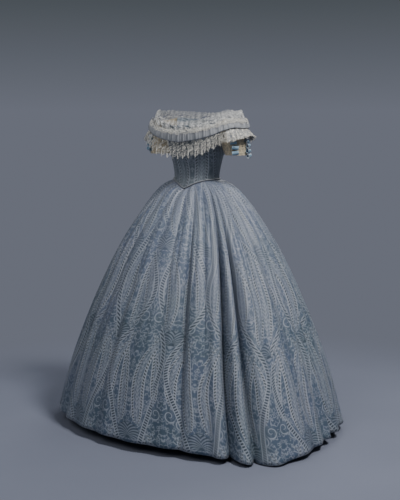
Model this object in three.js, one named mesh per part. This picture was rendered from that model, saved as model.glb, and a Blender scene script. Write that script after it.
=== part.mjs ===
// Ball gown of the 1850s: a full pleated skirt, a pointed bodice, and a lace bertha over short sleeves.
// Millimetres, +Z up. The gown faces -Y and the wearer's left is +X. The origin is the middle of the waist.
// Angles are degrees round the body, from the centre front (0) through the wearer's left (90) to the back (180).
import * as THREE from "three";

// ---------- driving sizes ----------
const WAIST_TO_FLOOR = 1040;
const SILK_WALL = 2;
const LIGHT_SILK_WALL = 1.2;
const LACE_WALL = 1;
const SEAM_GAP = 0.3;
const LEAN_PER_RISE = 0.05;
const STEP = 0.01;

// ---------- colours ----------
const SILK = { color: 0x71808f, roughness: 0.45, metalness: 0 };
const PLAIN_SILK = { color: 0x7d8a98, roughness: 0.42, metalness: 0 };
const LACE = { color: 0xd9d3c2, roughness: 0.9, metalness: 0 };
const RIBBON = { color: 0x93a9bb, roughness: 0.4, metalness: 0 };

// ---------- tables ----------
// Half widths of the bodice, rise above the waist.
const BODICE_RINGS = [
  { rise: -60, side: 101, front: 97, back: 84, squareness: 1 },
  { rise: 0, side: 97, front: 83, back: 80, squareness: 1 },
  { rise: 30, side: 100, front: 87, back: 82, squareness: 0.98 },
  { rise: 70, side: 107, front: 100, back: 88, squareness: 0.95 },
  { rise: 110, side: 115, front: 118, back: 95, squareness: 0.92 },
  { rise: 150, side: 125, front: 130, back: 102, squareness: 0.9 },
  { rise: 190, side: 150, front: 131, back: 107, squareness: 0.87 },
  { rise: 250, side: 184, front: 114, back: 104, squareness: 0.85 },
];

// Top edge of the bodice: neckline in front, armhole at the side, neckline behind.
const BODICE_TOP = [
  { at: 0, rise: 199 },
  { at: 34, rise: 217 },
  { at: 50, rise: 233 },
  { at: 58, rise: 238 },
  { at: 67, rise: 200 },
  { at: 78, rise: 152 },
  { at: 90, rise: 140 },
  { at: 104, rise: 150 },
  { at: 115, rise: 198 },
  { at: 124, rise: 234 },
  { at: 150, rise: 229 },
  { at: 180, rise: 224 },
];

// How far the waist seam drops to its points.
const WAIST_DIP = [
  { at: 0, drop: 52 },
  { at: 10, drop: 44 },
  { at: 25, drop: 31 },
  { at: 45, drop: 21 },
  { at: 60, drop: 18 },
  { at: 90, drop: 16 },
  { at: 150, drop: 16 },
  { at: 180, drop: 20 },
];

// The bodice ends a little short of the skirt at the points, under the piping.
const POINT_SHARE = 0.96;

// Skirt, as a share of the way from waist seam to hem.
const SKIRT_RINGS = [
  { down: 0, side: 98, front: 90, back: 80 },
  { down: 0.014, side: 132, front: 116, back: 120 },
  { down: 0.04, side: 168, front: 142, back: 162 },
  { down: 0.09, side: 213, front: 176, back: 211 },
  { down: 0.17, side: 271, front: 228, back: 270 },
  { down: 0.28, side: 340, front: 288, back: 336 },
  { down: 0.42, side: 412, front: 344, back: 404 },
  { down: 0.58, side: 484, front: 396, back: 472 },
  { down: 0.78, side: 560, front: 450, back: 540 },
  { down: 1, side: 622, front: 494, back: 592 },
];

// Height of the hem over the floor.
const HEM_LIFT = [
  { at: -180, lift: 10 },
  { at: -120, lift: 30 },
  { at: -62, lift: 45 },
  { at: -19, lift: 42 },
  { at: 20, lift: 35 },
  { at: 34, lift: 27 },
  { at: 42, lift: 17 },
  { at: 49, lift: 5 },
  { at: 57, lift: 11 },
  { at: 66, lift: 21 },
  { at: 86, lift: 28 },
  { at: 105, lift: 30 },
  { at: 140, lift: 22 },
  { at: 180, lift: 10 },
];

// Where the skirt swings out beyond its rings, at the hem.
const SKIRT_SWELLS = [
  { at: 52, width: 22, reach: 100 },
  { at: -62, width: 24, reach: 12 },
  { at: -150, width: 30, reach: 18 },
];

// The troughs between the skirt's folds: angle at the waist and at the hem, depth on the way down, and how
// sharply the trough is creased.
const SKIRT_TROUGHS = [
  { waist: -180, hem: -180, high: 9, middle: 18, low: 16, sharp: 0.6 },
  { waist: -172, hem: -168, high: 10, middle: 14, low: 12, sharp: 0.3 },
  { waist: -163, hem: -156, high: 10, middle: 24, low: 24, sharp: 0.8 },
  { waist: -153, hem: -144, high: 11, middle: 15, low: 13, sharp: 0.3 },
  { waist: -141, hem: -130, high: 11, middle: 26, low: 28, sharp: 0.8 },
  { waist: -128, hem: -115, high: 11, middle: 16, low: 14, sharp: 0.3 },
  { waist: -112, hem: -100, high: 10, middle: 24, low: 26, sharp: 0.7 },
  { waist: -95, hem: -86, high: 9, middle: 13, low: 12, sharp: 0.2 },
  { waist: -77, hem: -71, high: 8, middle: 18, low: 20, sharp: 0.5 },
  { waist: -60, hem: -57, high: 7, middle: 12, low: 10, sharp: 0.2 },
  { waist: -45, hem: -44, high: 6, middle: 16, low: 12, sharp: 0.3 },
  { waist: -29, hem: -33, high: 6, middle: 10, low: 7, sharp: 0 },
  { waist: -13, hem: -17, high: 5, middle: 13, low: 9, sharp: 0.2 },
  { waist: -3, hem: -6, high: 6, middle: 9, low: 6, sharp: 0 },
  { waist: 11, hem: 9, high: 6, middle: 12, low: 8, sharp: 0.1 },
  { waist: 24, hem: 20.5, high: 10, middle: 20, low: 12, sharp: 0.5 },
  { waist: 36, hem: 30.5, high: 9, middle: 9, low: 7, sharp: 0 },
  { waist: 47.5, hem: 39, high: 14, middle: 46, low: 58, sharp: 1 },
  { waist: 54, hem: 47.5, high: 14, middle: 50, low: 62, sharp: 1 },
  { waist: 67, hem: 61, high: 9, middle: 13, low: 12, sharp: 0.2 },
  { waist: 79, hem: 75, high: 9, middle: 11, low: 12, sharp: 0.1 },
  { waist: 93, hem: 85, high: 10, middle: 13, low: 14, sharp: 0.2 },
  { waist: 105, hem: 94.5, high: 11, middle: 20, low: 38, sharp: 0.7 },
  { waist: 117, hem: 105, high: 12, middle: 18, low: 18, sharp: 0.3 },
  { waist: 129, hem: 118, high: 12, middle: 24, low: 26, sharp: 0.7 },
  { waist: 141, hem: 131, high: 11, middle: 16, low: 14, sharp: 0.3 },
  { waist: 152, hem: 144, high: 11, middle: 22, low: 24, sharp: 0.6 },
  { waist: 162, hem: 156, high: 10, middle: 15, low: 13, sharp: 0.3 },
  { waist: 171, hem: 168, high: 9, middle: 20, low: 18, sharp: 0.6 },
];

// The widths of silk in the skirt, by the troughs that they are seamed in.
const SKIRT_WIDTHS = [
  { name: "skirt_back_right", from: 0, to: 4 },
  { name: "skirt_side_back_right", from: 4, to: 7 },
  { name: "skirt_side_front_right", from: 7, to: 11 },
  { name: "skirt_front", from: 11, to: 16 },
  { name: "skirt_side_front_left", from: 16, to: 20 },
  { name: "skirt_side_back_left", from: 20, to: 24 },
  { name: "skirt_back_left", from: 24, to: 29 },
];

// The form that the bertha lies on, over bust and arms.
const BERTHA_RINGS = [
  { rise: 70, side: 226, front: 134, back: 122 },
  { rise: 120, side: 226, front: 141, back: 124 },
  { rise: 160, side: 223, front: 143, back: 122 },
  { rise: 200, side: 212, front: 137, back: 118 },
  { rise: 235, side: 194, front: 122, back: 110 },
  { rise: 270, side: 168, front: 108, back: 101 },
];
const BERTHA_SQUARENESS = 0.85;
const ROUND_SAMPLES = 240;
const ROUND_RISE = 200;
const UNEVEN = { slow: 0.01, slowTurns: 3, quick: 0.004, quickTurns: 8 };
const COLUMNS_PER_WAVE = 4;
const FLOUNCE_ROWS = 3;

// The bertha's heading, the depth of its ruche, and the lower edge of its flounce.
const BERTHA_LINES = [
  { at: 0, heading: 178, ruche: 40, edge: 70 },
  { at: 20, heading: 189, ruche: 37, edge: 82 },
  { at: 34, heading: 200, ruche: 34, edge: 106 },
  { at: 50, heading: 216, ruche: 31, edge: 129 },
  { at: 70, heading: 225, ruche: 29, edge: 149 },
  { at: 90, heading: 221, ruche: 28, edge: 163 },
  { at: 110, heading: 224, ruche: 29, edge: 151 },
  { at: 130, heading: 221, ruche: 32, edge: 130 },
  { at: 180, heading: 213, ruche: 38, edge: 112 },
];

const BERTHA_HALVES = [
  { name: "front", from: -90, to: 90 },
  { name: "back", from: 90, to: 270 },
];
const FRILL = { height: 38, tucked: 5, waves: 22, ripple: 4.5, leanOut: 6 };
const RUCHE = { pleats: 22, ripple: 2.4, offset: 6.4 };
const HEADING = { above: 6, below: 5, scallops: 15, scallop: 2, offset: 10.9 };
const FLOUNCE = { scallop: 9, ripple: 5.5, standOut: 8, tucked: 5, offset: 0.4 };
const FLOUNCE_PIECES = [
  { name: "bertha_flounce_front", from: -55, to: 55, scallops: 16 },
  { name: "bertha_flounce_back", from: 125, to: 235, scallops: 14 },
];
const CAP = { from: 55, to: 125, waves: 10, ripple: 5, lip: 7, fall: 1.6, silkBehind: 2.2 };
const CAP_LACE_ROWS = [0, 1 / 3, 2 / 3, 1];
const CAP_SILK_ROWS = [0.08, 1 / 3, 2 / 3, 1];

// The sleeves, round each arm.
const SLEEVE = {
  frontCorner: 58,
  backCorner: 124,
  outer: 196,
  outerRise: 221,
  cuffAxis: 184,
  cuffHalfWidth: 42,
  cuffHalfDepth: 47,
  cuffRise: 86,
  puff: 5,
  offBodice: 0.8,
  columns: 20,
  rows: 3,
};

// Ribbon loops on each sleeve: angle round the arm (0 outwards, 90 to the front), rise and tilt.
const LOOPS = [
  { name: "front_1", around: 58, rise: 138, tilt: 7 },
  { name: "front_2", around: 55, rise: 117, tilt: -6 },
  { name: "front_3", around: 59, rise: 96, tilt: 8 },
  { name: "outer_1", around: -10, rise: 143, tilt: -6 },
  { name: "outer_2", around: -14, rise: 123, tilt: 5 },
  { name: "outer_3", around: -9, rise: 103, tilt: -5 },
  { name: "outer_4", around: -13, rise: 83, tilt: 6 },
];
const LOOP = { ribbonWidth: 27, height: 15, depth: 12, standOff: 1.5, sides: 10, flare: 1.06 };
const SIDES = [
  { name: "left", sign: 1, capFlare: 22, loopsUp: 0 },
  { name: "right", sign: -1, capFlare: 8, loopsUp: 10 },
];

const PIPING = { radius: 1.8, above: 4.2, off: 1.2, sides: 5, spans: 44 };
const BODICE_PANELS = [
  { name: "bodice_front_left", from: 0, to: 48, spans: 6 },
  { name: "bodice_side_left", from: 48, to: 118, spans: 10 },
  { name: "bodice_back_left", from: 118, to: 180, spans: 6 },
  { name: "bodice_back_right", from: 180, to: 242, spans: 6 },
  { name: "bodice_side_right", from: 242, to: 312, spans: 10 },
  { name: "bodice_front_right", from: 312, to: 360, spans: 6 },
];
const BODICE_ROWS = 5;

// ---------- small tools ----------
const radians = THREE.MathUtils.degToRad;
const signedPower = (value, power) => Math.sign(value) * Math.abs(value) ** power;
const smooth = (share) => share * share * (3 - 2 * share);

// A smooth curve through the named column of a table, level beyond its ends and never overshooting.
function curveOf(table, along, column) {
  const xs = table.map((row) => row[along]);
  const ys = table.map((row) => row[column]);
  const slopes = xs.slice(1).map((x, i) => (ys[i + 1] - ys[i]) / (x - xs[i]));
  const tangents = xs.map((x, i) => {
    const before = slopes[i - 1] ?? 0;
    const after = slopes[i] ?? 0;
    if (i === 0 || i === xs.length - 1) return i === 0 ? after : before;
    return before * after > 0 ? (2 * before * after) / (before + after) : 0;
  });
  return (x) => {
    const held = THREE.MathUtils.clamp(x, xs[0], xs[xs.length - 1]);
    let i = 0;
    while (i < xs.length - 2 && held >= xs[i + 1]) i += 1;
    const span = xs[i + 1] - xs[i];
    const t = (held - xs[i]) / span;
    return (
      ys[i] * (1 + 2 * t) * (1 - t) ** 2 +
      tangents[i] * span * t * (1 - t) ** 2 +
      ys[i + 1] * t * t * (3 - 2 * t) +
      tangents[i + 1] * span * t * t * (t - 1)
    );
  };
}

// Every column of a table as a curve.
function curvesOf(table, along) {
  const columns = Object.keys(table[0]).filter((key) => key !== along);
  return Object.fromEntries(columns.map((key) => [key, curveOf(table, along, key)]));
}

// The outward direction of a surface(u, v) whose u runs to the wearer's left and whose v runs up.
function outwardAt(surface, u, v, uStep, vStep) {
  const acrossSpan = surface(u + uStep, v).sub(surface(u - uStep, v));
  const upSpan = surface(u, v + vStep).sub(surface(u, v - vStep));
  return acrossSpan.cross(upSpan).normalize();
}

// The same surface moved back along its outward direction.
function movedBehind(surface, distance, step) {
  return (u, v) => surface(u, v).addScaledVector(outwardAt(surface, u, v, step, STEP), -distance);
}

// A cloth wall: the surface is its outer face and its inner face lies one thickness behind.
// Cells named by isOpen(column, row) are cut through. Seam edges are drawn back by half of the seam gap.
function clothWall({ surface, us, vs, thickness, closed = false, isOpen = () => false }) {
  const uStep = STEP * Math.abs(us[1] - us[0]);
  const vStep = STEP * Math.abs(vs[1] - vs[0]);
  const columns = closed ? us.length - 1 : us.length;
  const cells = us.length - 1;
  const rows = vs.length - 1;
  const positions = [];
  const indices = [];
  for (let i = 0; i < columns; i += 1) {
    for (let j = 0; j <= rows; j += 1) {
      const outer = surface(us[i], vs[j]);
      const outward = outwardAt(surface, us[i], vs[j], uStep, vStep);
      if (!closed && (i === 0 || i === columns - 1)) {
        const inside = surface(us[i === 0 ? 1 : i - 1], vs[j]).sub(outer);
        inside.addScaledVector(outward, -inside.dot(outward)).normalize();
        outer.addScaledVector(inside, SEAM_GAP / 2);
      }
      const inner = outer.clone().addScaledVector(outward, -thickness);
      positions.push(...outer.toArray(), ...inner.toArray());
    }
  }
  const outerIndex = (i, j) => 2 * ((i % columns) * (rows + 1) + j);
  const quad = (a, b, c, d) => indices.push(a, b, c, a, c, d);
  const isCloth = (i, j) => {
    if (j < 0 || j >= rows) return false;
    if (!closed && (i < 0 || i >= cells)) return false;
    return !isOpen((i + cells) % cells, j);
  };
  for (let i = 0; i < cells; i += 1) {
    for (let j = 0; j < rows; j += 1) {
      if (!isCloth(i, j)) continue;
      const corners = [
        outerIndex(i, j),
        outerIndex(i + 1, j),
        outerIndex(i + 1, j + 1),
        outerIndex(i, j + 1),
      ];
      const [a, b, c, d] = corners;
      quad(a, b, c, d);
      quad(c + 1, b + 1, a + 1, d + 1);
      const beyond = [isCloth(i, j - 1), isCloth(i + 1, j), isCloth(i, j + 1), isCloth(i - 1, j)];
      beyond.forEach((cloth, k) => {
        if (cloth) return;
        const start = corners[k];
        const end = corners[(k + 1) % corners.length];
        quad(end, start, start + 1, end + 1);
      });
    }
  }
  const geometry = new THREE.BufferGeometry();
  geometry.setAttribute("position", new THREE.Float32BufferAttribute(positions, 3));
  geometry.setIndex(indices);
  return geometry;
}

// A round cord along a closed line of points.
function closedCord(points, radius, sides) {
  const positions = [];
  const indices = [];
  points.forEach((point, i) => {
    const ahead = points[(i + 1) % points.length];
    const behind = points[(i + points.length - 1) % points.length];
    const along = ahead.clone().sub(behind).normalize();
    const outward = new THREE.Vector3(point.x, point.y, 0).normalize();
    outward.addScaledVector(along, -outward.dot(along)).normalize();
    const upward = outward.clone().cross(along);
    for (let k = 0; k < sides; k += 1) {
      const turn = (2 * Math.PI * k) / sides;
      const place = point.clone().addScaledVector(outward, radius * Math.cos(turn));
      place.addScaledVector(upward, radius * Math.sin(turn));
      positions.push(...place.toArray());
      const next = (i + 1) % points.length;
      const a = i * sides + k;
      const b = i * sides + ((k + 1) % sides);
      const c = next * sides + ((k + 1) % sides);
      const d = next * sides + k;
      indices.push(a, c, b, a, d, c);
    }
  });
  const geometry = new THREE.BufferGeometry();
  geometry.setAttribute("position", new THREE.Float32BufferAttribute(positions, 3));
  geometry.setIndex(indices);
  return geometry;
}

// Evenly spaced values from start to end.
const evenly = (start, end, spans) =>
  Array.from({ length: spans + 1 }, (_, i) => start + ((end - start) * i) / spans);

// ---------- bodice ----------
const bodiceRing = curvesOf(BODICE_RINGS, "rise");
const bodiceTop = curveOf(BODICE_TOP, "at", "rise");
const waistDip = curveOf(WAIST_DIP, "at", "drop");

// An angle brought between -180 and 180.
const wrapped = (angle) => ((((angle + 180) % 360) + 360) % 360) - 180;

function bodicePoint(angle, rise, out = 0) {
  const turn = radians(angle);
  const squareness = bodiceRing.squareness(rise);
  const depth = Math.cos(turn) > 0 ? bodiceRing.front(rise) : bodiceRing.back(rise);
  const x = (bodiceRing.side(rise) + out) * signedPower(Math.sin(turn), squareness);
  const y = -(depth + out) * signedPower(Math.cos(turn), squareness);
  return new THREE.Vector3(x, y, rise);
}

// The body leans a little to the wearer's left above the waist.
function leant(point) {
  point.x += LEAN_PER_RISE * Math.max(0, point.z);
  return point;
}

function bodiceSurface(angle, share) {
  const away = Math.abs(wrapped(angle));
  const foot = -POINT_SHARE * waistDip(away) + SEAM_GAP;
  return leant(bodicePoint(angle, foot + (bodiceTop(away) - foot) * share));
}

// ---------- skirt ----------
const skirtRing = curvesOf(SKIRT_RINGS, "down");
const hemLift = curveOf(HEM_LIFT, "at", "lift");
const TROUGH_COUNT = SKIRT_TROUGHS.length;
const TROUGH_DEPTH_AT = { high: 0.1, middle: 0.45, low: 1 };
const CREASE_POWER = 0.8;

// The trough with a running number, counted on past the back seam.
function troughAt(number) {
  const turns = Math.floor(number / TROUGH_COUNT);
  const row = SKIRT_TROUGHS[number - turns * TROUGH_COUNT];
  return { ...row, waist: row.waist + 360 * turns, hem: row.hem + 360 * turns };
}

function troughDepth(row, down) {
  const { high, middle } = TROUGH_DEPTH_AT;
  if (down < high) return row.high * smooth(down / high);
  if (down < middle) return row.high + (row.middle - row.high) * smooth((down - high) / (middle - high));
  return row.middle + (row.low - row.middle) * smooth((down - middle) / (1 - middle));
}

// The skirt's outer face. fold counts troughs round the body, down is 0 at the waist and 1 at the hem.
function skirtPoint(fold, down) {
  const number = Math.floor(fold);
  const across = fold - number;
  const here = troughAt(number);
  const next = troughAt(number + 1);
  const drift = smooth(Math.min(1, down / 0.8));
  const start = here.waist + (here.hem - here.waist) * drift;
  const end = next.waist + (next.hem - next.waist) * drift;
  const angle = start + (end - start) * across;
  const turn = radians(angle);
  const away = wrapped(angle);
  const depth = THREE.MathUtils.lerp(troughDepth(here, down), troughDepth(next, down), across);
  const sharp = THREE.MathUtils.lerp(here.sharp, next.sharp, across);
  const soft = (1 + Math.cos(2 * Math.PI * across)) / 2;
  const creased = 1 - Math.sin(Math.PI * across) ** CREASE_POWER;
  const trough = -depth * THREE.MathUtils.lerp(soft, creased, sharp);
  const swell = SKIRT_SWELLS.reduce((sum, row) => {
    const distance = wrapped(away - row.at) / row.width;
    return sum + row.reach * Math.exp(-distance * distance);
  }, 0);
  const out = trough + swell * Math.max(0, down) ** 1.6;
  const edge = bodicePoint(angle, -waistDip(Math.abs(away)));
  const frontward = Math.cos(turn) > 0;
  const depthNow = frontward ? skirtRing.front(down) : skirtRing.back(down);
  const depthThen = frontward ? skirtRing.front(0) : skirtRing.back(0);
  const x = edge.x + (skirtRing.side(down) - skirtRing.side(0) + out) * Math.sin(turn);
  const y = edge.y - (depthNow - depthThen + out) * Math.cos(turn);
  const foot = -(WAIST_TO_FLOOR - hemLift(away));
  return new THREE.Vector3(x, y, edge.z + (foot - edge.z) * down);
}

const ACROSS_FOLD = [0, 0.12, 0.36, 0.64, 0.88];
const skirtRows = SKIRT_RINGS.map((row) => 1 - row.down).reverse();

function skirtWidth({ name, from, to }) {
  const us = [];
  for (let fold = from; fold < to; fold += 1) us.push(...ACROSS_FOLD.map((part) => fold + part));
  us.push(to);
  return clothMesh(name, SILK, {
    surface: (fold, up) => skirtPoint(fold, 1 - up),
    us,
    vs: skirtRows,
    thickness: SILK_WALL,
  });
}

// ---------- bertha ----------
const berthaRing = curvesOf(BERTHA_RINGS, "rise");
const berthaLine = curvesOf(BERTHA_LINES, "at");

function berthaPoint(angle, rise, out) {
  const turn = radians(angle);
  const depth = Math.cos(turn) > 0 ? berthaRing.front(rise) : berthaRing.back(rise);
  const x = (berthaRing.side(rise) + out) * signedPower(Math.sin(turn), BERTHA_SQUARENESS);
  const y = -(depth + out) * signedPower(Math.cos(turn), BERTHA_SQUARENESS);
  return leant(new THREE.Vector3(x, y, rise));
}

// Angles from one to another that are evenly spaced along the cloth instead of round the body.
function evenAngles(from, to) {
  const samples = evenly(from, to, ROUND_SAMPLES).map((angle) => ({
    angle,
    length: 0,
    point: berthaPoint(angle, ROUND_RISE, 0),
  }));
  samples.slice(1).forEach((sample, i) => {
    sample.length = samples[i].length + sample.point.distanceTo(samples[i].point);
  });
  const angleAt = curveOf(samples, "length", "angle");
  const whole = samples[ROUND_SAMPLES].length;
  return (across) => {
    const beyond = Math.max(0, across - 1) + Math.min(0, across);
    return angleAt(across * whole) + beyond * (to - from);
  };
}

const ripple = (across, count) => Math.cos(2 * Math.PI * count * across);

// Where a share of the gathers lies along the cloth: some gathers are wider than others.
function unevenly(across) {
  const slow = UNEVEN.slow * Math.sin(2 * Math.PI * UNEVEN.slowTurns * across);
  const quick = UNEVEN.quick * Math.sin(2 * Math.PI * UNEVEN.quickTurns * across);
  return across + slow + quick;
}

// Each bertha surface is given its angle, its share across the piece, and its share up.
const frillSurface = (angle, across, up) => {
  const foot = berthaLine.heading(Math.abs(wrapped(angle))) - FRILL.tucked;
  const wave = FRILL.ripple * (0.12 + 0.88 * up) * ripple(across, FRILL.waves);
  return berthaPoint(angle, foot + (FRILL.height + FRILL.tucked) * up, wave + FRILL.leanOut * up * up);
};

const rucheSurface = (angle, across, up) => {
  const line = Math.abs(wrapped(angle));
  const wave = RUCHE.ripple * ripple(across, RUCHE.pleats);
  const rise = berthaLine.heading(line) - berthaLine.ruche(line) * (1 - up);
  return berthaPoint(angle, rise, RUCHE.offset + wave);
};

const headingSurface = (angle, across, up) => {
  const scallop = HEADING.scallop * (1 - 2 * up) * ripple(across, HEADING.scallops);
  const middle = berthaLine.heading(Math.abs(wrapped(angle)));
  const rise = middle + scallop + THREE.MathUtils.lerp(-HEADING.below, HEADING.above, up);
  return berthaPoint(angle, rise, HEADING.offset);
};

const flounceSurface = (scallops) => (angle, across, up) => {
  const line = Math.abs(wrapped(angle));
  const low = Math.max(0, 1 - up);
  const top = berthaLine.heading(line) - berthaLine.ruche(line) + FLOUNCE.tucked;
  const wave = ripple(across, scallops);
  const edge = berthaLine.edge(line) + (FLOUNCE.scallop * (1 - wave)) / 2;
  const out = FLOUNCE.offset + (FLOUNCE.standOut + FLOUNCE.ripple * wave) * low ** 1.2;
  return berthaPoint(angle, top + (edge - top) * low, out);
};

// The flared cap over an arm.
const capSurface = (flare) => (angle, across, up) => {
  const line = Math.abs(wrapped(angle));
  const low = Math.max(0, 1 - up);
  const top = berthaLine.heading(line) - berthaLine.ruche(line) + FLOUNCE.tucked;
  const wave = CAP.ripple * ripple(across, CAP.waves);
  const middle = Math.sin(Math.PI * THREE.MathUtils.clamp(across, 0, 1)) ** 0.7;
  const out = FLOUNCE.offset + (flare * middle + CAP.lip + wave) * low ** CAP.fall;
  return berthaPoint(angle, top + (berthaLine.edge(line) - top) * low, out);
};

// A strip of the bertha from one angle to another.
function berthaStrip(name, material, { from, to, surface, columns, vs = [0, 1], behind = 0, ...rest }) {
  const angleAt = evenAngles(from, to);
  const outer = (across, up) => surface(angleAt(unevenly(across)), across, up);
  return clothMesh(name, material, {
    surface: behind > 0 ? movedBehind(outer, behind, STEP / columns) : outer,
    us: evenly(0, 1, columns),
    vs,
    ...rest,
  });
}

// The larger gaps of the lace, three to a scallop.
const laceGap = (column, row) => {
  const part = column % COLUMNS_PER_WAVE;
  return row === 1 ? part === 2 : part === 0;
};

// ---------- sleeves ----------
// The top edge of a left sleeve: along the armhole inside, over the arm outside.
function sleeveTop(turn) {
  const { frontCorner, backCorner, offBodice } = SLEEVE;
  const corner = (angle) => bodicePoint(angle, bodiceTop(angle), offBodice);
  const share = (wrapped(turn - 90) + 360) % 360;
  if (share <= 180) return corner(THREE.MathUtils.lerp(backCorner, frontCorner, share / 180));
  const sweep = radians(share - 180);
  const middle = corner(frontCorner).lerp(corner(backCorner), (1 - Math.cos(sweep)) / 2);
  const reach = Math.sin(sweep);
  middle.x += (SLEEVE.outer - middle.x) * reach;
  middle.z += (SLEEVE.outerRise - middle.z) * reach;
  return middle;
}

// A left sleeve's outer face; turn is 0 outwards, 90 to the back, 180 to the body and 270 to the front.
function sleevePoint(turn, up) {
  const reach = 1 + (SLEEVE.puff * Math.sin(Math.PI * up)) / SLEEVE.cuffHalfWidth;
  const x = SLEEVE.cuffAxis + SLEEVE.cuffHalfWidth * reach * Math.cos(radians(turn));
  const y = SLEEVE.cuffHalfDepth * reach * Math.sin(radians(turn));
  return new THREE.Vector3(x, y, SLEEVE.cuffRise).lerp(sleeveTop(turn), up);
}

function mirrored(point, sign) {
  point.x *= sign;
  return leant(point);
}

// A ribbon loop: a short flat tube that lies across the arm.
function ribbonLoop({ name, around, rise, tilt }, { name: side, sign, loopsUp }) {
  const turn = -around;
  const up = (rise + loopsUp - SLEEVE.cuffRise) / (sleeveTop(turn).z - SLEEVE.cuffRise);
  const root = sleevePoint(turn, up);
  const outward = new THREE.Vector3(Math.cos(radians(turn)), Math.sin(radians(turn)), 0);
  const across = new THREE.Vector3(-outward.y, outward.x, 0);
  const upward = new THREE.Vector3(0, 0, 1);
  across.applyAxisAngle(outward, radians(tilt));
  upward.applyAxisAngle(outward, radians(tilt));
  const clear = (LOOP.depth * LOOP.flare) / 2 + LOOP.standOff + Math.max(0, 1 - up) * 3;
  const centre = root.addScaledVector(outward, clear);
  return clothMesh(`ribbon_loop_${side}_${name}`, RIBBON, {
    surface: (round, along) => {
      const swell = 1 + (LOOP.flare - 1) * (2 * along - 1) ** 2;
      const point = centre.clone();
      point.addScaledVector(across, sign * (0.5 - along) * LOOP.ribbonWidth);
      point.addScaledVector(outward, (LOOP.depth / 2) * swell * Math.cos(radians(round)));
      point.addScaledVector(upward, (LOOP.height / 2) * swell * Math.sin(radians(round)));
      return mirrored(point, sign);
    },
    us: evenly(0, 360, LOOP.sides),
    vs: [0, 1],
    thickness: LIGHT_SILK_WALL,
    closed: true,
  });
}

// ---------- putting together ----------
function clothMesh(name, material, options) {
  const mesh = new THREE.Mesh(clothWall(options), new THREE.MeshStandardMaterial(material));
  mesh.name = name;
  return mesh;
}

function waistPiping() {
  const points = evenly(0, 360, PIPING.spans)
    .slice(0, -1)
    .map((angle) => {
      const rise = -waistDip(Math.abs(wrapped(angle))) + PIPING.above;
      return leant(bodicePoint(angle, rise, PIPING.radius + PIPING.off));
    });
  const cord = closedCord(points, PIPING.radius, PIPING.sides);
  const mesh = new THREE.Mesh(cord, new THREE.MeshStandardMaterial(PLAIN_SILK));
  mesh.name = "waist_piping";
  return mesh;
}

const gown = new THREE.Group();

SKIRT_WIDTHS.forEach((width) => gown.add(skirtWidth(width)));

BODICE_PANELS.forEach(({ name, from, to, spans }) =>
  gown.add(
    clothMesh(name, SILK, {
      surface: bodiceSurface,
      us: evenly(from, to, spans),
      vs: evenly(0, 1, BODICE_ROWS),
      thickness: SILK_WALL,
    }),
  ),
);
gown.add(waistPiping());

BERTHA_HALVES.forEach(({ name, from, to }) => {
  gown.add(
    berthaStrip(`neck_frill_${name}`, LACE, {
      from,
      to,
      surface: frillSurface,
      columns: FRILL.waves * COLUMNS_PER_WAVE,
      thickness: LACE_WALL,
    }),
    berthaStrip(`bertha_ruche_${name}`, PLAIN_SILK, {
      from,
      to,
      surface: rucheSurface,
      columns: RUCHE.pleats * COLUMNS_PER_WAVE,
      thickness: LIGHT_SILK_WALL,
    }),
    berthaStrip(`bertha_heading_${name}`, LACE, {
      from,
      to,
      surface: headingSurface,
      columns: HEADING.scallops * 2,
      thickness: LACE_WALL,
    }),
  );
});

FLOUNCE_PIECES.forEach(({ name, from, to, scallops }) =>
  gown.add(
    berthaStrip(name, LACE, {
      from,
      to,
      surface: flounceSurface(scallops),
      columns: scallops * COLUMNS_PER_WAVE,
      vs: evenly(0, 1, FLOUNCE_ROWS),
      thickness: LACE_WALL,
      isOpen: laceGap,
    }),
  ),
);

SIDES.forEach((side) => {
  const { name, sign, capFlare } = side;
  const ends = sign > 0 ? { from: CAP.from, to: CAP.to } : { from: -CAP.to, to: -CAP.from };
  gown.add(
    berthaStrip(`cap_lace_${name}`, LACE, {
      ...ends,
      surface: capSurface(capFlare),
      columns: CAP.waves * COLUMNS_PER_WAVE,
      vs: CAP_LACE_ROWS,
      thickness: LACE_WALL,
      isOpen: laceGap,
    }),
    berthaStrip(`cap_silk_${name}`, PLAIN_SILK, {
      ...ends,
      surface: capSurface(capFlare),
      columns: CAP.waves * COLUMNS_PER_WAVE,
      vs: CAP_SILK_ROWS,
      behind: CAP.silkBehind,
      thickness: LIGHT_SILK_WALL,
    }),
    clothMesh(`sleeve_${name}`, LACE, {
      surface: (turn, up) => mirrored(sleevePoint(sign * turn, up), sign),
      us: evenly(0, 360, SLEEVE.columns),
      vs: evenly(0, 1, SLEEVE.rows),
      thickness: LIGHT_SILK_WALL,
      closed: true,
    }),
    ...LOOPS.map((loop) => ribbonLoop(loop, side)),
  );
});

export default gown;
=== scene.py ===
"""Ball gown of the 1850s: figured silk, plain silk, lace, net and ribbon on the solids' forms."""
import math
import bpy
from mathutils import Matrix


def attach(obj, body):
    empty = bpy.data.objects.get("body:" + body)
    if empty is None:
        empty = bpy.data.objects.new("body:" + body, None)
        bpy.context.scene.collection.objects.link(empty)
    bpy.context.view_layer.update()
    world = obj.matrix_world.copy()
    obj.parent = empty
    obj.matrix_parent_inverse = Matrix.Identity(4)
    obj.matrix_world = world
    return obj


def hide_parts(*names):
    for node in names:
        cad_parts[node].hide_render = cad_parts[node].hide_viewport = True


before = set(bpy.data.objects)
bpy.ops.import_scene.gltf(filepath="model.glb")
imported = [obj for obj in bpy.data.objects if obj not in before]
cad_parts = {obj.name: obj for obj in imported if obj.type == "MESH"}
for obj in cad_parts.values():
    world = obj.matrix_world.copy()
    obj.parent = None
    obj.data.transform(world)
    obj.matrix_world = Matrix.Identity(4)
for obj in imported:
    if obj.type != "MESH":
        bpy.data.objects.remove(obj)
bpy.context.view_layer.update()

from types import SimpleNamespace as Form

import bpy
import numpy as np

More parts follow.
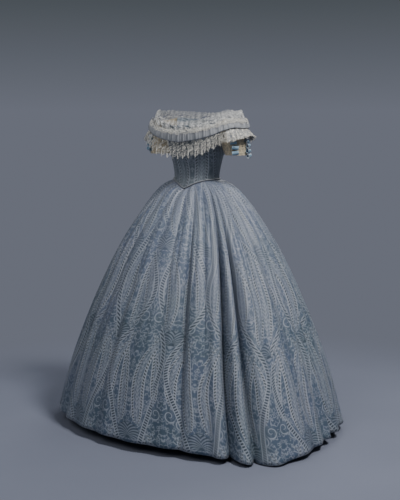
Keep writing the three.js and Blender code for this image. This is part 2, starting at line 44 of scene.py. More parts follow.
# Sizes are millimetres and angles degrees, as in the solids; meshes are in metres.
MM = 0.001
WAIST_TO_FLOOR = 1040
SILK_SHELL = 0.8
LIGHT_SHELL = 0.5
RIBBON_SHELL = 0.4
RIBBON_WIDE = 27
LEAN_PER_RISE = 0.05
POINT_SHARE = 0.96
SEAM_GAP = 0.3

# ---------- tables shared with the solids ----------
BODICE_RINGS = [  # rise, side, front, back, squareness
    (-60, 101, 97, 84, 1), (0, 97, 83, 80, 1), (30, 100, 87, 82, 0.98), (70, 107, 100, 88, 0.95),
    (110, 115, 118, 95, 0.92), (150, 125, 130, 102, 0.9), (190, 150, 131, 107, 0.87),
    (250, 184, 114, 104, 0.85)]
BODICE_TOP = [  # angle, rise
    (0, 199), (34, 217), (50, 233), (58, 238), (67, 200), (78, 152), (90, 140), (104, 150),
    (115, 198), (124, 234), (150, 229), (180, 224)]
WAIST_DIP = [  # angle, drop
    (0, 52), (10, 44), (25, 31), (45, 21), (60, 18), (90, 16), (150, 16), (180, 20)]
SKIRT_RINGS = [  # down, side, front, back
    (0, 98, 90, 80), (0.014, 132, 116, 120), (0.04, 168, 142, 162), (0.09, 213, 176, 211),
    (0.17, 271, 228, 270), (0.28, 340, 288, 336), (0.42, 412, 344, 404), (0.58, 484, 396, 472),
    (0.78, 560, 450, 540), (1, 622, 494, 592)]
HEM_LIFT = [  # angle, lift
    (-180, 10), (-120, 30), (-62, 45), (-19, 42), (20, 35), (34, 27), (42, 17), (49, 5), (57, 11),
    (66, 21), (86, 28), (105, 30), (140, 22), (180, 10)]
SKIRT_SWELLS = [(52, 22, 100), (-62, 24, 12), (-150, 30, 18)]  # angle, width, reach
SKIRT_TROUGHS = np.array([  # angle at waist, angle at hem, depth high, middle, low, sharpness
    (-180, -180, 9, 18, 16, 0.6), (-172, -168, 10, 14, 12, 0.3), (-163, -156, 10, 24, 24, 0.8),
    (-153, -144, 11, 15, 13, 0.3), (-141, -130, 11, 26, 28, 0.8), (-128, -115, 11, 16, 14, 0.3),
    (-112, -100, 10, 24, 26, 0.7), (-95, -86, 9, 13, 12, 0.2), (-77, -71, 8, 18, 20, 0.5),
    (-60, -57, 7, 12, 10, 0.2), (-45, -44, 6, 16, 12, 0.3), (-29, -33, 6, 10, 7, 0),
    (-13, -17, 5, 13, 9, 0.2), (-3, -6, 6, 9, 6, 0), (11, 9, 6, 12, 8, 0.1),
    (24, 20.5, 10, 20, 12, 0.5), (36, 30.5, 9, 9, 7, 0), (47.5, 39, 14, 46, 58, 1),
    (54, 47.5, 14, 50, 62, 1), (67, 61, 9, 13, 12, 0.2), (79, 75, 9, 11, 12, 0.1),
    (93, 85, 10, 13, 14, 0.2), (105, 94.5, 11, 20, 38, 0.7), (117, 105, 12, 18, 18, 0.3),
    (129, 118, 12, 24, 26, 0.7), (141, 131, 11, 16, 14, 0.3), (152, 144, 11, 22, 24, 0.6),
    (162, 156, 10, 15, 13, 0.3), (171, 168, 9, 20, 18, 0.6)], float)
SKIRT_WIDTHS = [
    ("skirt_back_right", 0, 4), ("skirt_side_back_right", 4, 7), ("skirt_side_front_right", 7, 11),
    ("skirt_front", 11, 16), ("skirt_side_front_left", 16, 20), ("skirt_side_back_left", 20, 24),
    ("skirt_back_left", 24, 29)]
BERTHA_RINGS = [  # rise, side, front, back
    (70, 226, 134, 122), (120, 226, 141, 124), (160, 223, 143, 122), (200, 212, 137, 118),
    (235, 194, 122, 110), (270, 168, 108, 101)]
BERTHA_SQUARENESS = 0.85
BERTHA_LINES = [  # angle, heading, ruche depth, flounce edge
    (0, 178, 40, 70), (20, 189, 37, 82), (34, 200, 34, 106), (50, 216, 31, 129), (70, 225, 29, 149),
    (90, 221, 28, 163), (110, 224, 29, 151), (130, 221, 32, 130), (180, 213, 38, 112)]
BODICE_PANELS = [
    ("bodice_front_left", 0, 48), ("bodice_side_left", 48, 118), ("bodice_back_left", 118, 180),
    ("bodice_back_right", 180, 242), ("bodice_side_right", 242, 312),
    ("bodice_front_right", 312, 360)]
HALVES = [("front", -90, 90), ("back", 90, 270)]
FLOUNCES = [("bertha_flounce_front", -55, 55, 16), ("bertha_flounce_back", 125, 235, 14)]
LOOPS = [  # name, angle round the arm, rise, tilt
    ("front_1", 58, 138, 7), ("front_2", 55, 117, -6), ("front_3", 59, 96, 8),
    ("outer_1", -10, 143, -6), ("outer_2", -14, 123, 5), ("outer_3", -9, 103, -5),
    ("outer_4", -13, 83, 6)]
SIDES = [("left", 1, 22, 0), ("right", -1, 8, 10)]  # side, sign, cap flare, loops up

# ---------- the silk's finer folds --------------------------
# fold it lies on, shares down where it starts and ends, width in folds, depth, drift in folds
SKIRT_CREASES = [
    (0.42, 0.1, 0.62, 0.1, 5, 0.1), (1.55, 0.3, 0.95, 0.12, 6, -0.08),
    (2.4, 0.06, 0.44, 0.09, 5, 0.06), (2.75, 0.5, 1.05, 0.1, 5, 0.05),
    (3.5, 0.12, 0.78, 0.11, 6, 0.12), (4.38, 0.38, 1.05, 0.1, 7, -0.1),
    (4.7, 0.08, 0.4, 0.08, 4, 0.05), (5.52, 0.1, 0.7, 0.11, 6, 0.1),
    (6.36, 0.34, 1.05, 0.1, 6, 0.08), (6.68, 0.05, 0.36, 0.08, 5, -0.04),
    (7.45, 0.14, 0.86, 0.1, 5, 0.12), (8.4, 0.44, 1.05, 0.09, 7, -0.06),
    (8.62, 0.06, 0.5, 0.09, 4, 0.08), (9.52, 0.1, 0.66, 0.08, 5, -0.1),
    (10.3, 0.28, 0.98, 0.09, 6, -0.05), (10.66, 0.06, 0.36, 0.07, 5, -0.12),
    (11.45, 0.16, 0.82, 0.09, 5, -0.14), (12.4, 0.08, 0.52, 0.1, 4, -0.08),
    (12.64, 0.46, 1.05, 0.09, 5, -0.06), (13.52, 0.2, 0.9, 0.11, 5, -0.08),
    (14.36, 0.06, 0.46, 0.08, 5, -0.05), (14.6, 0.36, 1.05, 0.08, 6, -0.06),
    (15.4, 0.05, 0.58, 0.1, 6, -0.08), (15.66, 0.56, 1.05, 0.08, 5, -0.04),
    (16.35, 0.04, 0.4, 0.11, 7, 0.06), (16.62, 0.12, 0.95, 0.1, 6, -0.1),
    (17.5, 0.05, 0.5, 0.1, 5, 0.08), (18.34, 0.04, 0.34, 0.07, 6, 0.05),
    (18.45, 0.3, 1.05, 0.07, 7, 0.06), (18.72, 0.08, 0.66, 0.06, 6, 0.08),
    (19.4, 0.05, 0.55, 0.1, 7, 0.08), (19.66, 0.45, 1.05, 0.08, 6, 0.1),
    (20.45, 0.08, 0.88, 0.1, 6, 0.12), (21.4, 0.3, 1.05, 0.09, 6, 0.05),
    (21.7, 0.05, 0.42, 0.09, 5, 0.1), (22.5, 0.1, 0.72, 0.11, 6, 0.12),
    (23.42, 0.4, 1.05, 0.09, 6, -0.05), (23.7, 0.05, 0.48, 0.08, 5, 0.06),
    (24.48, 0.14, 0.85, 0.1, 6, 0.1), (25.36, 0.06, 0.44, 0.09, 5, 0.06),
    (25.66, 0.46, 1.05, 0.09, 6, -0.06), (26.52, 0.1, 0.76, 0.1, 6, 0.08),
    (27.4, 0.32, 1.05, 0.1, 5, 0.06), (28.5, 0.08, 0.64, 0.11, 6, -0.08),
    (17.0, 0.04, 1.1, 0.13, 25, 0.02), (18.0, 0.04, 1.1, 0.12, 27, -0.02),
    (17.24, 0.3, 1.1, 0.1, 7, -0.03), (18.2, 0.25, 1.1, 0.1, 7, 0.05),
    (15.02, 0.03, 1.06, 0.12, 23, 0.02), (16.02, 0.02, 0.7, 0.08, 8, -0.04),
    (19.02, 0.02, 0.6, 0.08, 9, 0.05), (20.03, 0.03, 0.75, 0.08, 7, 0.04),
    (22.03, 0.05, 0.95, 0.09, 9, -0.03), (13.98, 0.03, 0.5, 0.07, 5, 0.02),
    (21.0, 0.04, 0.55, 0.08, 6, 0.03), (24.02, 0.06, 0.8, 0.08, 8, 0.03),
    (2.02, 0.05, 0.85, 0.09, 8, 0.02), (4.02, 0.04, 0.92, 0.09, 9, -0.03),
    (6.02, 0.06, 0.88, 0.09, 8, 0.03), (8.03, 0.04, 0.7, 0.08, 7, -0.02),
    (10.98, 0.04, 0.6, 0.08, 6, 0.02), (26.02, 0.05, 0.84, 0.09, 8, 0.02)]
# how far down each fold's small waist pleats run, and how many there are in it
WAIST_PLEATS = [
    (0.16, 3), (0.22, 2), (0.14, 3), (0.2, 3), (0.26, 3), (0.15, 4), (0.21, 3), (0.17, 3),
    (0.12, 3), (0.18, 2), (0.2, 1), (0.26, 1), (0.16, 1), (0.22, 1), (0.28, 1), (0.34, 1),
    (0.24, 1), (0.22, 2), (0.17, 3), (0.26, 3), (0.18, 3), (0.24, 3), (0.15, 3), (0.21, 3),
    (0.17, 3), (0.24, 3), (0.14, 3), (0.19, 2), (0.16, 3)]
# angle, rise, half length in degrees, half width, depth, slope: strain folds of the bodice
BODICE_CREASES = [
    (30, 118, 16, 3.2, 1.6, 0.35), (26, 100, 14, 3.0, 1.3, 0.3), (42, 84, 15, 3.2, 1.4, 0.45),
    (52, 66, 13, 2.8, 1.2, 0.4), (-30, 112, 15, 3.2, 1.5, -0.35), (-42, 88, 14, 3.0, 1.3, -0.42),
    (-54, 64, 12, 2.8, 1.1, -0.38), (70, 98, 14, 3.0, 1.3, 0.2), (84, 72, 13, 3.0, 1.1, -0.15),
    (-74, 96, 14, 3.0, 1.3, -0.2), (112, 88, 15, 3.2, 1.3, -0.3), (140, 104, 16, 3.2, 1.2, -0.25),
    (160, 76, 14, 3.0, 1.1, 0.2), (-112, 90, 14, 3.2, 1.2, 0.3), (-146, 98, 16, 3.0, 1.2, 0.22),
    (12, 40, 10, 2.6, 0.9, 0.25), (-14, 36, 10, 2.6, 0.9, -0.25), (60, 34, 12, 2.6, 0.9, 0.3),
    (-64, 32, 12, 2.6, 0.9, -0.3)]


# ---------- small tools ----------
def smooth(share):
    return share * share * (3 - 2 * share)


def eased(value, start, end):
    """Rises smoothly from 0 at the start to 1 at the end."""
    return smooth(np.clip((value - start) / (end - start), 0, 1))


def signed_power(value, power):
    return np.sign(value) * np.abs(value) ** power


def wrapped(angle):
    return (angle + 180) % 360 - 180


def curve_of(xs, ys):
    """A smooth curve through points, level beyond its ends and never overshooting."""
    xs, ys = np.array(xs, float), np.array(ys, float)
    slopes = np.diff(ys) / np.diff(xs)
    tangents = np.concatenate(([slopes[0]], np.zeros(len(xs) - 2), [slopes[-1]]))
    before, after = slopes[:-1], slopes[1:]
    same = before * after > 0
    tangents[1:-1][same] = 2 * before[same] * after[same] / (before[same] + after[same])

    def at(x):
        held = np.clip(x, xs[0], xs[-1])
        i = np.clip(np.searchsorted(xs, held, side="right") - 1, 0, len(xs) - 2)
        span = xs[i + 1] - xs[i]
        t = (held - xs[i]) / span
        return (ys[i] * (1 + 2 * t) * (1 - t) ** 2 + tangents[i] * span * t * (1 - t) ** 2
                + ys[i + 1] * t * t * (3 - 2 * t) + tangents[i + 1] * span * t * t * (t - 1))
    return at


def columns_of(table):
    rows = list(zip(*table))
    return [curve_of(rows[0], column) for column in rows[1:]]


def lengths_along(points, axis):
    """Running length of a grid's lines along one of its two directions, from 0."""
    steps = np.linalg.norm(np.diff(points, axis=axis), axis=2)
    start = np.zeros_like(np.take(steps, [0], axis=axis))
    return np.concatenate((start, np.cumsum(steps, axis=axis)), axis=axis)


def unit(vectors):
    return vectors / np.linalg.norm(vectors, axis=-1, keepdims=True)


def area_of(points):
    """Area in square metres of a grid of millimetre points."""
    a, b, c, d = points[:-1, :-1], points[1:, :-1], points[1:, 1:], points[:-1, 1:]
    return 0.5e-6 * float(np.linalg.norm(np.cross(c - a, d - b), axis=2).sum())


# ---------- forms ----------
bodice_side, bodice_front, bodice_back, bodice_square = columns_of(BODICE_RINGS)
bodice_top, = columns_of(BODICE_TOP)
waist_dip, = columns_of(WAIST_DIP)
skirt_side, skirt_front, skirt_back = columns_of(SKIRT_RINGS)
hem_lift, = columns_of(HEM_LIFT)
bertha_side, bertha_front, bertha_back = columns_of(BERTHA_RINGS)
heading_rise, ruche_depth, flounce_edge = columns_of(BERTHA_LINES)


def leant(points):
    points[..., 0] += LEAN_PER_RISE * np.maximum(0, points[..., 2])
    return points


def ring_point(angle, rise, out, side, front, back, square):
    turn = np.radians(angle)
    depth = np.where(np.cos(turn) > 0, front, back)
    x = (side + out) * signed_power(np.sin(turn), square)
    y = -(depth + out) * signed_power(np.cos(turn), square)
    return np.stack(np.broadcast_arrays(x, y, rise), axis=-1).astype(float)


def bodice_point(angle, rise, out=0.0):
    return ring_point(angle, rise, out, bodice_side(rise), bodice_front(rise),
                      bodice_back(rise), bodice_square(rise))


def bertha_point(angle, rise, out):
    return leant(ring_point(angle, rise, out, bertha_side(rise), bertha_front(rise),
                            bertha_back(rise), BERTHA_SQUARENESS))


HIGH_AT, MIDDLE_AT = 0.1, 0.45  # how far down a trough has the first two of its depths
PLEAT_CREST = 0.72
PLEAT_DEEP = 7.0
PLEATS_FROM = 0.012
CREASE_ENDS = 1.3


def trough_depth(number, down):
    high, middle, low = (SKIRT_TROUGHS[number % len(SKIRT_TROUGHS), k] for k in (2, 3, 4))
    upper = high * eased(down, 0, HIGH_AT) + (middle - high) * eased(down, HIGH_AT, MIDDLE_AT)
    return upper + (low - middle) * eased(down, MIDDLE_AT, 1)


def skirt_out(fold, across, down):
    """What the listed creases and the waist pleats add to the skirt's big folds."""
    out = np.zeros(np.broadcast(fold, down).shape)
    for at, start, end, width, depth, drift in SKIRT_CREASES:
        away = (fold - at - drift * (down - start)) / width
        length = np.clip((down - start) / (end - start), 0, 1)
        out -= depth * np.exp(-away * away) * np.sin(math.pi * length) ** CREASE_ENDS
    runs, counts = np.array(WAIST_PLEATS).T
    number = np.floor(fold).astype(int) % len(WAIST_PLEATS)
    phase = (across * counts[number]) % 1
    shape = np.where(phase < PLEAT_CREST, phase / PLEAT_CREST, (1 - phase) / (1 - PLEAT_CREST))
    fade = np.clip(1 - down / runs[number], 0, 1) ** CREASE_ENDS * eased(down, 0, PLEATS_FROM)
    return out + (smooth(shape) - 0.6) * PLEAT_DEEP * fade


def skirt_point(fold, down):
    """The skirt's outer face: fold counts troughs round the body, down is 1 at the hem."""
    count = len(SKIRT_TROUGHS)
    number = np.floor(fold).astype(int)
    across = fold - number
    after = number + 1
    drift = smooth(np.minimum(1, down / 0.8))

    def angle_at(n):
        row = SKIRT_TROUGHS[n % count]
        return row[..., 0] + (row[..., 1] - row[..., 0]) * drift + 360 * (n // count)
    start, end = angle_at(number), angle_at(after)
    angle = start + (end - start) * across
    turn = np.radians(angle)
    away = wrapped(angle)
    depth = trough_depth(number, down) * (1 - across) + trough_depth(after, down) * across
    sharpness = SKIRT_TROUGHS[:, 5]
    sharp = sharpness[number % count] * (1 - across) + sharpness[after % count] * across
    soft = (1 + np.cos(2 * math.pi * across)) / 2
    trough = -depth * (soft + (1 - np.sin(math.pi * across) ** 0.8 - soft) * sharp)
    swell = sum(reach * np.exp(-(wrapped(away - at) / width) ** 2)
                for at, width, reach in SKIRT_SWELLS)
    out = trough + swell * down ** 1.6 + skirt_out(fold, across, down)
    edge = bodice_point(angle, -waist_dip(np.abs(away)))
    front = np.cos(turn) > 0
    deeper = np.where(front, skirt_front(down) - skirt_front(0), skirt_back(down) - skirt_back(0))
    x = edge[..., 0] + (skirt_side(down) - skirt_side(0) + out) * np.sin(turn)
    y = edge[..., 1] - (deeper + out) * np.cos(turn)
    z = edge[..., 2] + (-(WAIST_TO_FLOOR - hem_lift(away)) - edge[..., 2]) * down
    return np.stack((x, y, z), axis=-1)


# ---------- meshes ----------
def placed(name, data):
    """A new object, in the scene."""
    item = bpy.data.objects.new(name, data)
    bpy.context.scene.collection.objects.link(item)
    return item


def grid_piece(name, points, material, uv=None, closed=False, keep=None, shell=LIGHT_SHELL,
               fold_uv=None):
    """A thin shell on a grid of points, columns to the wearer's left and rows up."""
    columns, rows = points.shape[:2]
    spans = columns if closed else columns - 1
    i, j = np.meshgrid(np.arange(spans), np.arange(rows - 1), indexing="ij")
    if keep is not None:
        i, j = i[keep], j[keep]
    i, j = i.ravel(), j.ravel()
    here, ahead = i * rows + j, (i + 1) % columns * rows + j
    corners = np.stack((here, ahead, ahead + 1, here + 1), axis=1)
    mesh = bpy.data.meshes.new(name)
    mesh.vertices.add(columns * rows)
    mesh.vertices.foreach_set("co", (points.reshape(-1, 3) * MM).ravel())
    mesh.loops.add(corners.size)
    mesh.loops.foreach_set("vertex_index", corners.ravel().astype(np.int32))
    mesh.polygons.add(len(corners))
    mesh.polygons.foreach_set("loop_start", np.arange(0, corners.size, 4, dtype=np.int32))
    mesh.update(calc_edges=True)
    mesh.polygons.foreach_set("use_smooth", np.ones(len(corners), bool))
    layer = mesh.uv_layers.new(name="cloth")
    if fold_uv is not None:
        loops = fold_uv(i, j)
    else:
        if uv is None:
            uv = np.stack((lengths_along(points, 0), lengths_along(points, 1)), axis=2) * MM
        wide = np.concatenate((uv, 2 * uv[-1:] - uv[-2:-1]), axis=0) if closed else uv
        loops = np.stack((wide[i, j], wide[i + 1, j], wide[i + 1, j + 1], wide[i, j + 1]), axis=1)
    layer.data.foreach_set("uv", loops.astype(np.float32).ravel())
    mesh.validate()
    mesh.materials.append(material)
    piece = placed(name, mesh)
    if shell:
        solid = piece.modifiers.new("thickness", "SOLIDIFY")
        solid.thickness = shell * MM
        solid.offset = -1
    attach(piece, "root")
    return piece


def sheet(name, node, slot, held, points, material, closed=False, **options):
    """A cloth piece on its points, with the solid that it stands for hidden; it works out the cut
    that its mesh measures but keeps none of it. slot is not used.
    """
    piece = grid_piece(name, points, material, closed=closed, **options)
    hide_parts(node)
    ring = np.concatenate((points, points[:1])) if closed else points
    width = float(lengths_along(ring, 0)[-1].max()) * MM
    length = float(lengths_along(ring, 1)[:, -1].max()) * MM
    area = min(area_of(ring), width * length)


# ---------- shader tools ----------
class Wire:
    """A shader value that can be used in sums, as plain numbers are."""
    tree = None

    def __init__(self, socket):
        self.socket = socket

    def __add__(self, other): return step("ADD", self, other)
    def __radd__(self, other): return step("ADD", self, other)
    def __sub__(self, other): return step("SUBTRACT", self, other)
    def __rsub__(self, other): return step("SUBTRACT", other, self)
    def __mul__(self, other): return step("MULTIPLY", self, other)
    def __rmul__(self, other): return step("MULTIPLY", self, other)
    def __truediv__(self, other): return step("DIVIDE", self, other)


def step(operation, a, b=None, c=None, clamp=False):
    node = Wire.tree.nodes.new("ShaderNodeMath")
    node.operation = operation
    node.use_clamp = clamp
    for socket, value in zip(node.inputs, (a, b, c)):
        if isinstance(value, Wire):
            Wire.tree.links.new(value.socket, socket)
        elif value is not None:
            socket.default_value = float(value)
    return Wire(node.outputs[0])


def below(a, b, soft):
    """1 where a is under b and 0 where it is over, with a soft edge."""
    return step("MULTIPLY_ADD", b - a, 1 / soft, 0.5, clamp=True)


def frac(a): return step("FRACT", a)
def absolute(a): return step("ABSOLUTE", a)
def larger(a, b): return step("MAXIMUM", a, b)
def power(a, b): return step("POWER", a, b)
def sine(a): return step("SINE", a)
def cosine(a): return step("COSINE", a)


class Shader:
    """A new material, its cloth coordinates in metres and its main shader."""

    def __init__(self, name):
        self.material = bpy.data.materials.new(name)
        self.material.use_nodes = True
        self.tree = self.material.node_tree
        Wire.tree = self.tree
        self.join = self.tree.links.new
        self.main = self.tree.nodes["Principled BSDF"]
        cloth = self.add("UVMap")
        cloth.uv_map = "cloth"
        self.uv = cloth.outputs[0]
        self.u, self.v = self.split(self.uv)

    def add(self, kind):
        return self.tree.nodes.new("ShaderNode" + kind)

    def split(self, vector):
        node = self.add("SeparateXYZ")
        self.join(vector, node.inputs[0])
        return Wire(node.outputs[0]), Wire(node.outputs[1])

    def set(self, **values):
        for key, value in values.items():
            self.main.inputs[key.replace("_", " ")].default_value = value

    def link(self, wire, name):
        self.join(wire.socket, self.main.inputs[name])

    def noise(self, scale, detail=2.0, stretch=None, vector=None):
        source = vector or self.uv
        if stretch:
            mapping = self.add("Mapping")
            mapping.inputs["Scale"].default_value = (*stretch, 1.0)
            self.join(source, mapping.inputs["Vector"])
            source = mapping.outputs[0]
        node = self.add("TexNoise")
        node.inputs["Scale"].default_value = scale
        node.inputs["Detail"].default_value = detail
        self.join(source, node.inputs["Vector"])
        return Wire(node.outputs["Fac"])

    def place(self):
        return self.add("TexCoord").outputs["Object"]

    def mix(self, share, first, second):
        node = self.add("Mix")
        node.data_type = "RGBA"
        sockets = node.inputs[0], node.inputs[6], node.inputs[7]
        for socket, value in zip(sockets, (share, first, second)):
            if isinstance(value, Wire):
                self.join(value.socket, socket)
            elif isinstance(value, tuple):
                socket.default_value = (*value, 1.0)
            else:
                socket.default_value = value
        return Wire(node.outputs[2])

    def bump(self, height, distance, strength=1.0):
        node = self.add("Bump")
        node.inputs["Distance"].default_value = distance
        node.inputs["Strength"].default_value = strength
        self.join(height.socket, node.inputs["Height"])
        self.join(node.outputs[0], self.main.inputs["Normal"])


def linear(*screen):
    """A colour stated as 0-255 screen values."""
    return tuple(v / 255 / 12.92 if v <= 10 else ((v / 255 + 0.055) / 1.055) ** 2.4 for v in screen)


def reach_of(x, y):
    return power(x * x + y * y, 0.5)


def in_cells(u, v, wide, tall):
    """Place in a cell from its middle, and how far that is; every second row is moved half."""
    row = step("FLOOR", v / tall) * 0.5
    x = (frac(u / wide + row) - 0.5) * wide
    y = (frac(v / tall) - 0.5) * tall
    return x, y, reach_of(x, y)


def weave(shader, ends, picks):
    """Fine over-and-under threads, for the bump."""
    across = sine(shader.u * (math.tau * ends))
    along = sine(shader.v * (math.tau * picks))
    return across * along * 0.5 + 0.5


# ---------- the woven figure, in metres ----------
HALF_REPEAT = 0.1325
REPEAT_TALL = 0.62
FIGURE_SCALE = 1.2
DROPS = [  # foot across, foot up, height, half width, lean, hook of the tip
    (0.035, 0.062, 0.3, 0.03, -0.012, 0.056), (0.096, 0.13, 0.225, 0.027, 0.016, -0.078)]
CURLS = [(0.072, 0.078, 0.021, 1), (0.026, 0.412, 0.022, -1)]  # centre across, up, radius, side
RIM_FROM, BAND_FROM, MIDDLE_TO = 0.87, 0.58, 0.52  # shares of a drop's half width
SPRAY_UP, SPRAY_REACH = 0.012, 0.052
BAND_MIDDLE_UP, BAND_SWING, BAND_KINK, BAND_HALF = 0.225, 0.052, 0.01, 0.008
FRINGE_AWAY = 0.0135
FLORETS_ACROSS, FLORETS_UP = 3, 14


def hatched(value, spacing, share):
    return below(absolute(frac(value / spacing) - 0.5), share, 0.12)


def drop(x, y, foot_x, foot_y, tall, half, lean, hook):
    """A tall teardrop, round at the foot, its tip bent: the share of its half width, and more."""
    up = (y - foot_y) / tall
    high = larger(up, 0.0)
    offset = x - foot_x - high * lean - power(high, 3.0) * hook
    round_foot = power(larger(up + 0.004, 0.0), 0.44)
    width = round_foot * power(larger(1.0 - up, 0.0), 0.7) * (half * 1.66) + 0.0012
    share = absolute(offset) / width
    inside = below(share, 1.0, 0.05) * below(absolute(up - 0.5), 0.504, 0.01)
    return share, inside, offset, up


def rung_drop(x, y, filler, *form):
    """A slim drop: a pale edge, a slate band with pale rungs, and a blue middle with a plume."""
    share, inside, offset, up = drop(x, y, *form)
    rim = below(RIM_FROM, share, 0.05)
    band = below(BAND_FROM, share, 0.06) * (1 - rim)
    rungs = hatched(y + absolute(offset) * 0.8, 0.0098, 0.22)
    line = below(absolute(share - 0.54), 0.045, 0.03)
    middle = below(share, MIDDLE_TO, 0.03)
    plume = below(share, 0.34 - absolute(up - 0.35) * 0.55, 0.06)
    feather = larger(hatched(y - absolute(offset) * 1.8, 0.013, 0.26), below(share, 0.05, 0.03))
    tracery = filler * (1 - plume) * middle * 0.25
    wash = middle * (plume * feather * 0.5 + (1 - plume) * filler * 0.45 + 0.14)
    edges = larger(larger(rim * 0.95, band * rungs), line * 0.75)
    pale = larger(edges, larger(wash, tracery)) * inside
    dark = larger(band * (1 - rungs), plume * (1 - feather) * 0.12) * inside
    return pale, dark, inside


def curl(x, y, centre_x, centre_y, radius, side):
    """A tendril that rolls up, thinner toward its middle."""
    dx = (x - centre_x) * side
    dy = y - centre_y
    away = reach_of(dx, dy)
    turn = step("ARCTAN2", dy, dx) / math.tau
    reach = away / radius
    disc = below(reach, 1.0, 0.05)
    arm = below(absolute(frac(power(larger(reach, 0.02), 0.6) * 1.9 + turn) - 0.5), 0.1, 0.06)
    return arm * disc * below(0.16, reach, 0.05), disc


def laid_under(over, under):
    """Joins two layers, each its pale part, its dark part and the ground that it takes."""
    free = 1 - over[2]
    return over[0] + under[0] * free, over[1] + under[1] * free, larger(over[2], under[2])


def motif(x, y, filler):
    """One half of the main figure: two drops with bent tips, tendrils and a spray of leaves."""
    first, second = (rung_drop(x, y, filler, *form) for form in DROPS)
    pale, dark, taken = laid_under(first, second)
    for form in CURLS:
        arm, disc = curl(x, y, *form)
        pale = larger(pale, arm * (1 - taken) * 0.8)
        taken = larger(taken, disc * 0.7)
    # the spray stands under them
    dy = y - SPRAY_UP
    away = reach_of(x, dy)
    turn = step("ARCTAN2", dy, x + 0.0005)
    leaf = hatched(turn + away * 22.0, 0.3, 0.26) * below(absolute(away - 0.03), 0.02, 0.003)
    zone = below(away, SPRAY_REACH, 0.002) * below(0.0, turn, 0.03) * (1 - taken)
    pale = larger(pale, leaf * zone * 0.42)
    dark = larger(dark, (1 - leaf) * zone * 0.4)
    taken = larger(taken, zone)
    return pale, dark, taken


def figure(u, v, filler_at):
    """The figure's pale and dark parts, on cloth v metres up from the hem."""
    sway = sine(v * 9.3) * 0.024 + sine(v * 23.0 + u * 5.0) * 0.004
    x = step("PINGPONG", u + sway, HALF_REPEAT)
    across = v / REPEAT_TALL
    y = frac(across) * REPEAT_TALL
    dropped = frac(across + 0.5) * REPEAT_TALL
    filler = filler_at(x, y)
    # the waving band, edged and crossed by rungs
    swing = (y - BAND_MIDDLE_UP) * (math.tau / REPEAT_TALL)
    line = cosine(swing) * BAND_SWING + sine(swing * 2.0) * BAND_KINK + HALF_REPEAT / 2
    away = absolute(x - line) * 0.84
    taken = below(away, BAND_HALF, 0.0012)
    edge = below(absolute(away - 0.0068), 0.0014, 0.0006)
    rungs = hatched(y + x * 0.5, 0.0092, 0.22)
    pale = taken * larger(edge * 0.85, rungs * 0.75)
    dark = taken * (1 - rungs) * (1 - edge) * 0.6
    # leaves beside it
    leaves = hatched(y + away * 1.3, 0.0165, 0.2)
    fringe = below(absolute(away - FRINGE_AWAY), 0.004, 0.001) * leaves
    layers = pale, dark, taken
    for shifted, height in ((x, y), (HALF_REPEAT - x, dropped)):
        layers = laid_under(layers, motif(shifted, height, filler))
    pale, dark, taken = layers
    pale = larger(pale, fringe * (1 - taken) * 0.4)
    # florets on a fine ground of tendrils
    fx, fy, away = in_cells(x, y, HALF_REPEAT / FLORETS_ACROSS, REPEAT_TALL / FLORETS_UP)
    petals = cosine(step("ARCTAN2", fy, fx) * 6.0) * 0.003 + 0.0062
    floret = below(away, petals, 0.0012) * below(0.0018, away, 0.001)
    ground = larger(floret * 0.45, filler * 0.6 * below(0.009, away, 0.002))
    pale = larger(pale, ground * (1 - taken))
    return pale, dark


def figured_silk(name, strength, deep, soft):
    """The woven silk: how much its figure stands out, and the two tones of its ground; toward its
    top it carries painted light, a paler lavender ground and a fainter figure.
    """
    s = Shader(name)

    def tendrils(x, y):
        spot = s.add("CombineXYZ")
        s.join(x.socket, spot.inputs[0])
        s.join(y.socket, spot.inputs[1])
        return below(absolute(s.noise(52.0, 2.0, vector=spot.outputs[0]) - 0.5), 0.034, 0.02)

    pale, dark = figure(s.u / FIGURE_SCALE, s.v / FIGURE_SCALE, tendrils)
    place = s.place()
    wide = s.noise(4.0, 3.0, vector=place)
    fine = s.noise(45.0, 4.0, vector=place)
    slub = s.noise(1.0, 2.0, stretch=(90.0, 1400.0))
    # painted light: high rises from 0 at 0.36 m up the cloth to 1 at 1.16 m, and tints the ground a
    # paler lavender toward the top
    high = step("MULTIPLY_ADD", s.v, 1.25, -0.45, clamp=True)
    ground = s.mix(wide, deep, soft)
    ground = s.mix(high * 0.6 * strength, ground, linear(122, 127, 154))
    ground = s.mix(fine * 0.6, ground, linear(66, 84, 80))
    light = s.mix(wide, linear(156, 166, 174), linear(182, 182, 190))
    slate = s.mix(fine, linear(9, 27, 40), linear(24, 42, 42))
    # the same painted light fades the figure's dark and pale parts toward the top
    colour = s.mix(dark * (0.95 - high * 0.45) * strength, ground, slate)
    colour = s.mix(pale * (0.9 - high * 0.22) * (0.72 + slub * 0.45) * strength, colour, light)
    s.link(colour, "Base Color")
    s.link(0.38 + pale * 0.16 + fine * 0.08, "Roughness")
    s.set(Sheen_Weight=0.06, Sheen_Roughness=0.35, Specular_IOR_Level=0.45)
    s.bump(pale * 0.5 + weave(s, 1500, 1100) * 0.25 + slub * 0.3, 0.0004, 0.7)
    return s.material


def plain_silk():
    s = Shader("plain_silk")
    wide = s.noise(9.0, 3.0, vector=s.place())
    slub = s.noise(1.0, 2.0, stretch=(70.0, 1300.0))
    colour = s.mix(wide, linear(126, 132, 140), linear(146, 148, 152))
    colour = s.mix(slub * 0.5, colour, linear(166, 166, 168))
    s.link(colour, "Base Color")
    s.link(0.36 + slub * 0.14, "Roughness")
    s.set(Sheen_Weight=0.25, Sheen_Roughness=0.3, Specular_IOR_Level=0.6)
    s.bump(weave(s, 1500, 1100) * 0.4 + slub * 0.6, 0.0003, 0.6)
    return s.material


